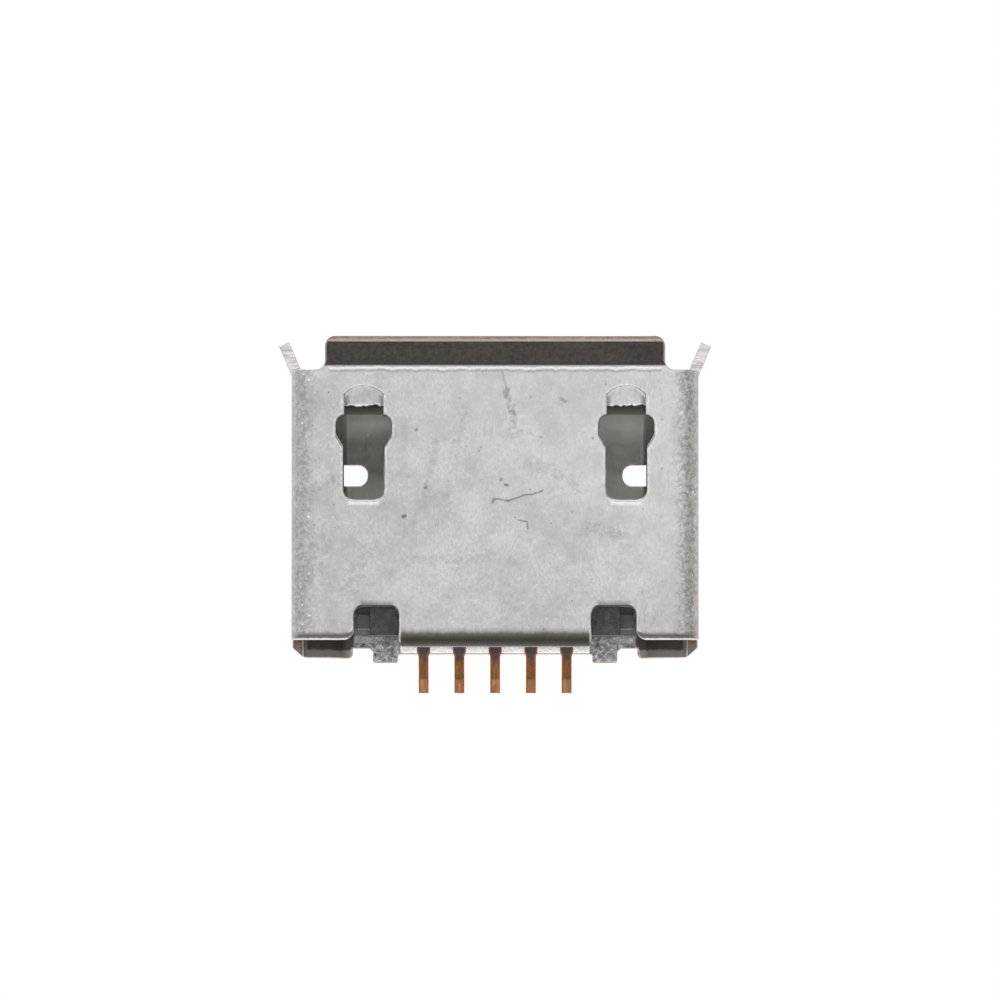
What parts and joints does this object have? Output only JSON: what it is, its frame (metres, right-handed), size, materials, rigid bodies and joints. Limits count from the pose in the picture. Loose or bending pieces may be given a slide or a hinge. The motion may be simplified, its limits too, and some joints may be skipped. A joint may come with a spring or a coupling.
{
  "type": "micro usb socket",
  "caption": "Board socket for a Micro-B plug: folded metal shell with latch windows, flared mouth, through-hole legs and rear feet round a black tongue with contacts.",
  "frame": {"origin": "on the board plane, in the middle of the shell", "axes": "+X across the mouth, +Y out of the mouth, +Z away from the board"},
  "size_m": [0.0078, 0.0063, 0.0029],
  "materials": {
    "plated_sheet": "matte grey plating over copper alloy sheet, scuffed, with bare copper-coloured cut edges",
    "black_plastic": "black moulded glass-filled plastic, matte",
    "contact_metal": "copper alloy strip with a thin gold flash, brown on the slopes of the tails"
  },
  "bodies": {
    "root": {"shell": "plated_sheet", "housing": "black_plastic", "contact_1_power": "contact_metal", "contact_2_data_minus": "contact_metal", "contact_3_data_plus": "contact_metal", "contact_4_id": "contact_metal", "contact_5_ground": "contact_metal"}
  },
  "joints": []
}
